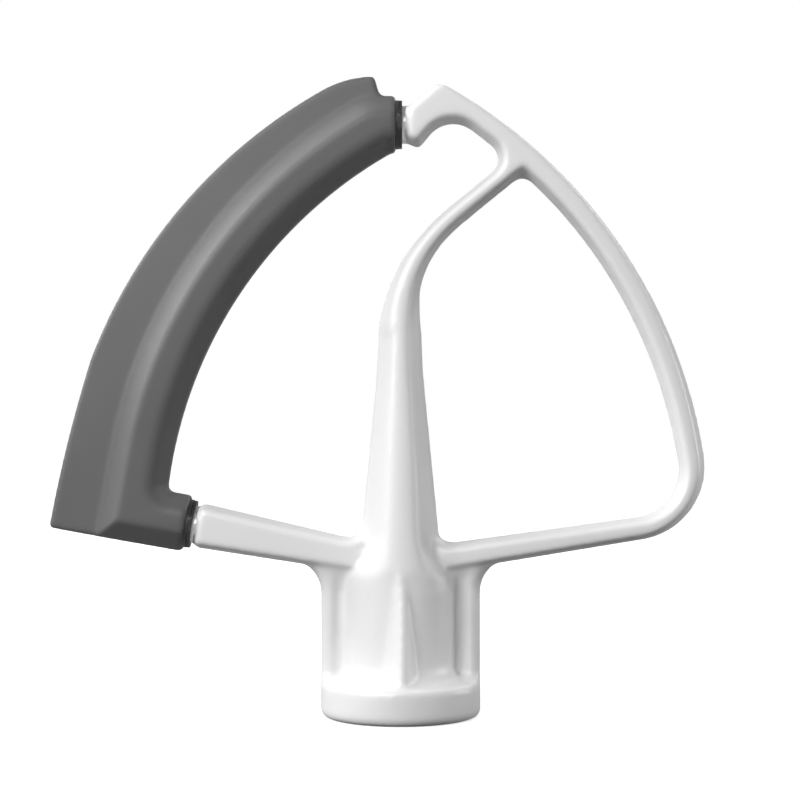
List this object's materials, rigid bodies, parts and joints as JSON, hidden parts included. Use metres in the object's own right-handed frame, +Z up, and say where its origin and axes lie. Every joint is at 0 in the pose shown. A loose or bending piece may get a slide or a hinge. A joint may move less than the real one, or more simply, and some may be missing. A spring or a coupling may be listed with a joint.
{
  "type": "stand mixer flat beater with flexible edge",
  "caption": "Flat mixer beater: a coated cast loop on a drive hub, with a flexible scraping edge moulded along one side.",
  "frame": {"origin": "centre of the drive socket's mouth, in the plane of the hub's rim, which the beater stands on", "axes": "+Z up the hub's axis from the rim into the beater, +X across the flat of the beater towards the plain loop, -X towards the flexible edge, +Y through its thickness, away from the picture's viewer"},
  "size_m": [0.1546, 0.0376, 0.1507],
  "materials": {
    "coated_casting": "satin",
    "dark_nylon": "satin",
    "grey_silicone": "matte"
  },
  "bodies": {
    "root": {"beater_frame": "coated_casting", "edge_carrier": "dark_nylon", "flex_edge": "grey_silicone"}
  },
  "joints": []
}
